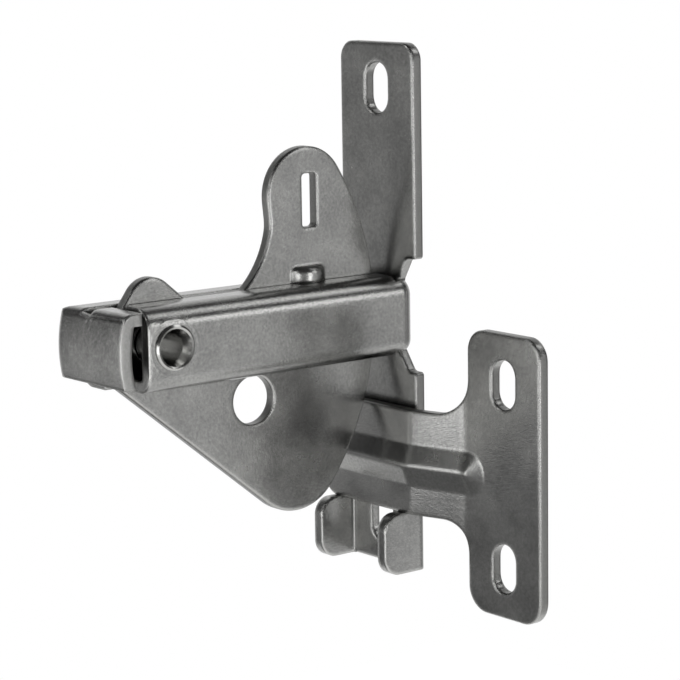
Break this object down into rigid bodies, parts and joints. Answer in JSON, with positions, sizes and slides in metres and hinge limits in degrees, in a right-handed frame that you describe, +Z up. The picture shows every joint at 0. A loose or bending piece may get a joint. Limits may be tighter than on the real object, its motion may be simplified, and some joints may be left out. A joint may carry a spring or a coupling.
{
  "type": "gate latch",
  "caption": "Folded sheet gate latch with a swinging catch plate on a hollow rivet and a joggled keeper resting in its mouth.",
  "frame": {"origin": "centre of the strap's mounting face, level with the middle of its height", "axes": "+Z up along the strap, +Y into the gate or post behind it, so the bar points along -Y, +X across the strap towards the keeper plate"},
  "size_m": [0.1054, 0.1267, 0.1889],
  "materials": {
    "frame_steel": "satin stainless sheet, tumbled edges",
    "plate_steel": "satin stainless sheet, tumbled edges",
    "rivet_steel": "bright turned stainless",
    "keeper_steel": "satin stainless sheet, tumbled edges"
  },
  "bodies": {
    "latch_frame": {"latch_body": "frame_steel", "pivot_rivet": "rivet_steel", "keeper": "keeper_steel"},
    "catch": {"latch_plate": "plate_steel"}
  },
  "joints": [
    {"name": "plate_swing", "type": "hinge", "parent": "latch_frame", "child": "catch", "pos_m": [0, -0.1005, -0.0014], "axis": [1, 0, 0], "range_deg": [0, 84]}
  ]
}
